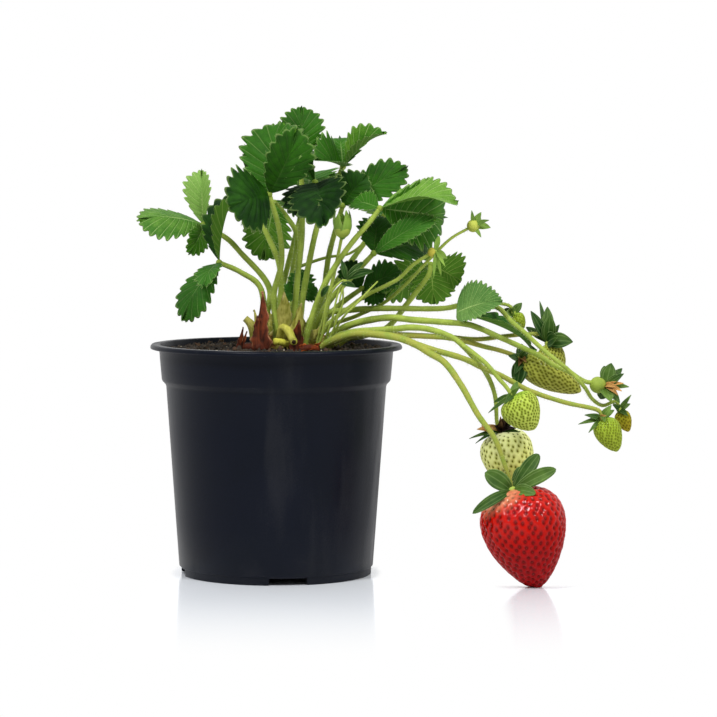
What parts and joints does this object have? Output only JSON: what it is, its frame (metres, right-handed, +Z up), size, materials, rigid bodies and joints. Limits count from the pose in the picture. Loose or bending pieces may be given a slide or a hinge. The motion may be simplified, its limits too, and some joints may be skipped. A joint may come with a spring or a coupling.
{
  "type": "potted strawberry plant",
  "caption": "Strawberry plant in a dark round nursery pot, with toothed leaves on upright stalks and fruit trusses arching over the rim, a ripe red berry reaching the ground.",
  "frame": {"origin": "centre of the pot's underside, on the ground", "axes": "+Z up, -Y the front, and +X the side over which the fruit trusses hang"},
  "size_m": [0.2526, 0.1528, 0.2421],
  "materials": {
    "pot": "satin charcoal plastic",
    "soil": "crumbly dark potting soil with pale specks",
    "crown": "fibrous yellow-green crown",
    "stipule": "papery red-brown, dull",
    "dried_piece": "papery orange-brown, dull",
    "leaf_stalk": "smooth green with fine hairs",
    "leaf_blade": "satin green leaf with sunken veins, pale beneath",
    "bract_leaf": "satin bluish-green leaf",
    "truss": "smooth light green with fine hairs",
    "bud": "pale green, finely haired",
    "faded_flower": "pale yellow-green, dry petals",
    "ripe_berry": "glossy red with sunken seeds",
    "white_berry": "satin pale green with dark sunken seeds",
    "green_berry": "satin green with dark sunken seeds",
    "dry_petals": "dry brown, dull",
    "withered_berry": "wrinkled yellow-green"
  },
  "bodies": {
    "root": {"pot": "pot", "soil": "soil", "crown": "crown", "stipules": "stipule", "dried_piece": "dried_piece", "bract_leaf": "bract_leaf", "leaf_01_stalk": "leaf_stalk", "leaf_01_blades": "leaf_blade", "leaf_02_stalk": "leaf_stalk", "leaf_02_blades": "leaf_blade", "leaf_03_stalk": "leaf_stalk", "leaf_03_blades": "leaf_blade", "leaf_04_stalk": "leaf_stalk", "leaf_04_blades": "leaf_blade", "leaf_05_stalk": "leaf_stalk", "leaf_05_blades": "leaf_blade", "leaf_06_stalk": "leaf_stalk", "leaf_06_blades": "leaf_blade", "leaf_07_stalk": "leaf_stalk", "leaf_07_blades": "leaf_blade", "leaf_08_stalk": "leaf_stalk", "leaf_08_blades": "leaf_blade", "leaf_09_stalk": "leaf_stalk", "leaf_09_blades": "leaf_blade", "leaf_10_stalk": "leaf_stalk", "leaf_10_blades": "leaf_blade", "leaf_11_stalk": "leaf_stalk", "leaf_11_blades": "leaf_blade", "leaf_12_stalk": "leaf_stalk", "leaf_12_blades": "leaf_blade", "leaf_13_stalk": "leaf_stalk", "leaf_13_blades": "leaf_blade", "leaf_14_stalk": "leaf_stalk", "leaf_14_blades": "leaf_blade", "leaf_15_stalk": "leaf_stalk", "leaf_15_blades": "leaf_blade", "leaf_16_stalk": "leaf_stalk", "leaf_16_blades": "leaf_blade", "truss_ripe": "truss", "truss_white": "truss", "truss_young": "truss", "truss_long": "truss", "truss_high": "truss", "bud_closed": "bud", "bud_set": "bud", "flower_faded": "faded_flower", "berry_ripe": "ripe_berry", "berry_white": "white_berry", "berry_green": "green_berry", "berry_long": "green_berry", "berry_hidden": "green_berry", "berry_small": "green_berry", "berry_tiny": "green_berry", "berry_young": "dry_petals", "berry_withered": "withered_berry"}
  },
  "joints": []
}
